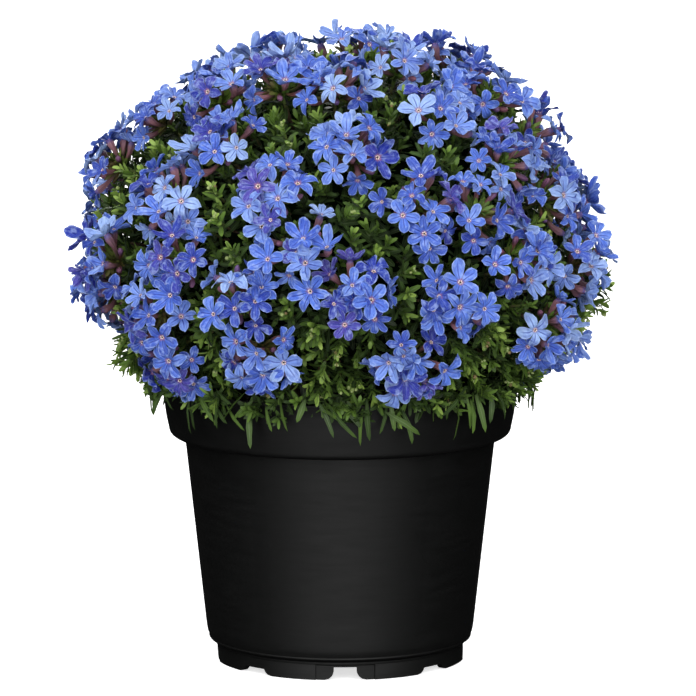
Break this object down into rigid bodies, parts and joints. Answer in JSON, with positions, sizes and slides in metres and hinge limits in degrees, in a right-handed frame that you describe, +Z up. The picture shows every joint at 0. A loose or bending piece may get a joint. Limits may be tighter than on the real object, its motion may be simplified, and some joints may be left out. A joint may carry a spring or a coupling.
{
  "type": "potted lithodora",
  "caption": "Low evergreen bush with narrow leaves, covered in small five-lobed blue flowers, growing as a dome out of soil in a round black nursery pot with a notched foot.",
  "frame": {"origin": "on the pot's axis, in the plane of the surface that the pot stands on", "axes": "+Z straight up along the pot's axis, -Y towards the side seen in the picture, +X to the right seen from there"},
  "size_m": [0.2073, 0.2057, 0.2332],
  "materials": {
    "petals": "thin blue petals, darker along the creases, pink at the throat",
    "foliage": "narrow green leaves with fine pale bristles, on brown woody stems",
    "pot": "satin black moulded plastic",
    "soil": "dark loose potting compost of peat and bark"
  },
  "bodies": {
    "root": {"flowers_01": "petals", "flowers_02": "petals", "flowers_03": "petals", "flowers_04": "petals", "flowers_05": "petals", "flowers_06": "petals", "flowers_07": "petals", "flowers_08": "petals", "flowers_09": "petals", "flowers_10": "petals", "flowers_11": "petals", "flowers_12": "petals", "flowers_13": "petals", "flowers_14": "petals", "flowers_15": "petals", "flowers_16": "petals", "flowers_17": "petals", "flowers_18": "petals", "flowers_19": "petals", "flowers_20": "petals", "flowers_21": "petals", "flowers_22": "petals", "flowers_23": "petals", "flowers_24": "petals", "flowers_25": "petals", "flowers_26": "petals", "flowers_27": "petals", "flowers_28": "petals", "flowers_29": "petals", "flowers_30": "petals", "flowers_31": "petals", "flowers_32": "petals", "flowers_33": "petals", "flowers_34": "petals", "flowers_35": "petals", "flowers_36": "petals", "flowers_37": "petals", "flowers_38": "petals", "flowers_39": "petals", "flowers_40": "petals", "flowers_41": "petals", "flowers_42": "petals", "flowers_43": "petals", "flowers_44": "petals", "flowers_45": "petals", "flowers_46": "petals", "flowers_47": "petals", "flowers_48": "petals", "flowers_49": "petals", "flowers_50": "petals", "flowers_51": "petals", "leafy_stem_1": "foliage", "leafy_stem_2": "foliage", "leafy_stem_3": "foliage", "leafy_stem_4": "foliage", "leafy_stem_5": "foliage", "leafy_stem_6": "foliage", "leafy_stem_7": "foliage", "pot": "pot", "soil": "soil"}
  },
  "joints": []
}
